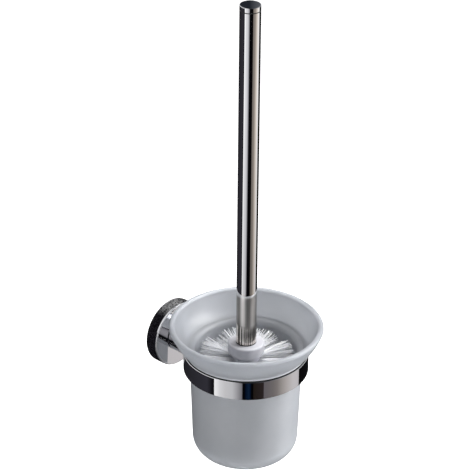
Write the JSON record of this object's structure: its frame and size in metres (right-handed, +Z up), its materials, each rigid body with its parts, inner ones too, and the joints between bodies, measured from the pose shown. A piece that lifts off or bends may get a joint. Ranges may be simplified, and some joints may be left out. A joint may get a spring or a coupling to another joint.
{
  "type": "toilet brush holder",
  "caption": "Wall-mounted brush set: round knurled rosette and post, metal ring, flared frosted glass cup and a brush with a long tube handle.",
  "frame": {"origin": "centre of the rosette's back face, on the wall", "axes": "+Z up, +Y into the wall, the cup stands off towards -Y"},
  "size_m": [0.1204, 0.1432, 0.3851],
  "materials": {
    "chrome": "mirror",
    "dark_knurl": "knurled, dark in the grooves",
    "zinc_steel": "zinc plated",
    "frosted_glass": "acid etched",
    "black_rubber": "matte",
    "white_plastic": "moulded",
    "bristle": "nylon filament"
  },
  "bodies": {
    "holder": {"wall_plate": "zinc_steel", "rosette": "chrome", "knurled_band": "dark_knurl", "set_screw": "zinc_steel", "post": "chrome", "post_screw": "zinc_steel", "post_washer": "zinc_steel", "post_dowel": "zinc_steel", "ring": "chrome", "gasket": "black_rubber"},
    "cup": {"glass_cup": "frosted_glass"},
    "brush": {"handle_tube": "chrome", "handle_cap": "chrome", "handle_plug": "zinc_steel", "handle_seal": "black_rubber", "head_core": "white_plastic", "head_stud": "zinc_steel", "tufts_row_1": "bristle", "tufts_row_2": "bristle", "tufts_row_3": "bristle", "tufts_row_4": "bristle", "tufts_row_5": "bristle", "tufts_row_6": "bristle", "tufts_row_7": "bristle", "tufts_end": "bristle"}
  },
  "joints": [
    {"name": "cup_lift", "type": "slide", "parent": "holder", "child": "cup", "axis": [0, 0, 1], "range_m": [0, 0.1]},
    {"name": "brush_lift", "type": "slide", "parent": "cup", "child": "brush", "axis": [0, 0, 1], "range_m": [0, 0.12]}
  ]
}
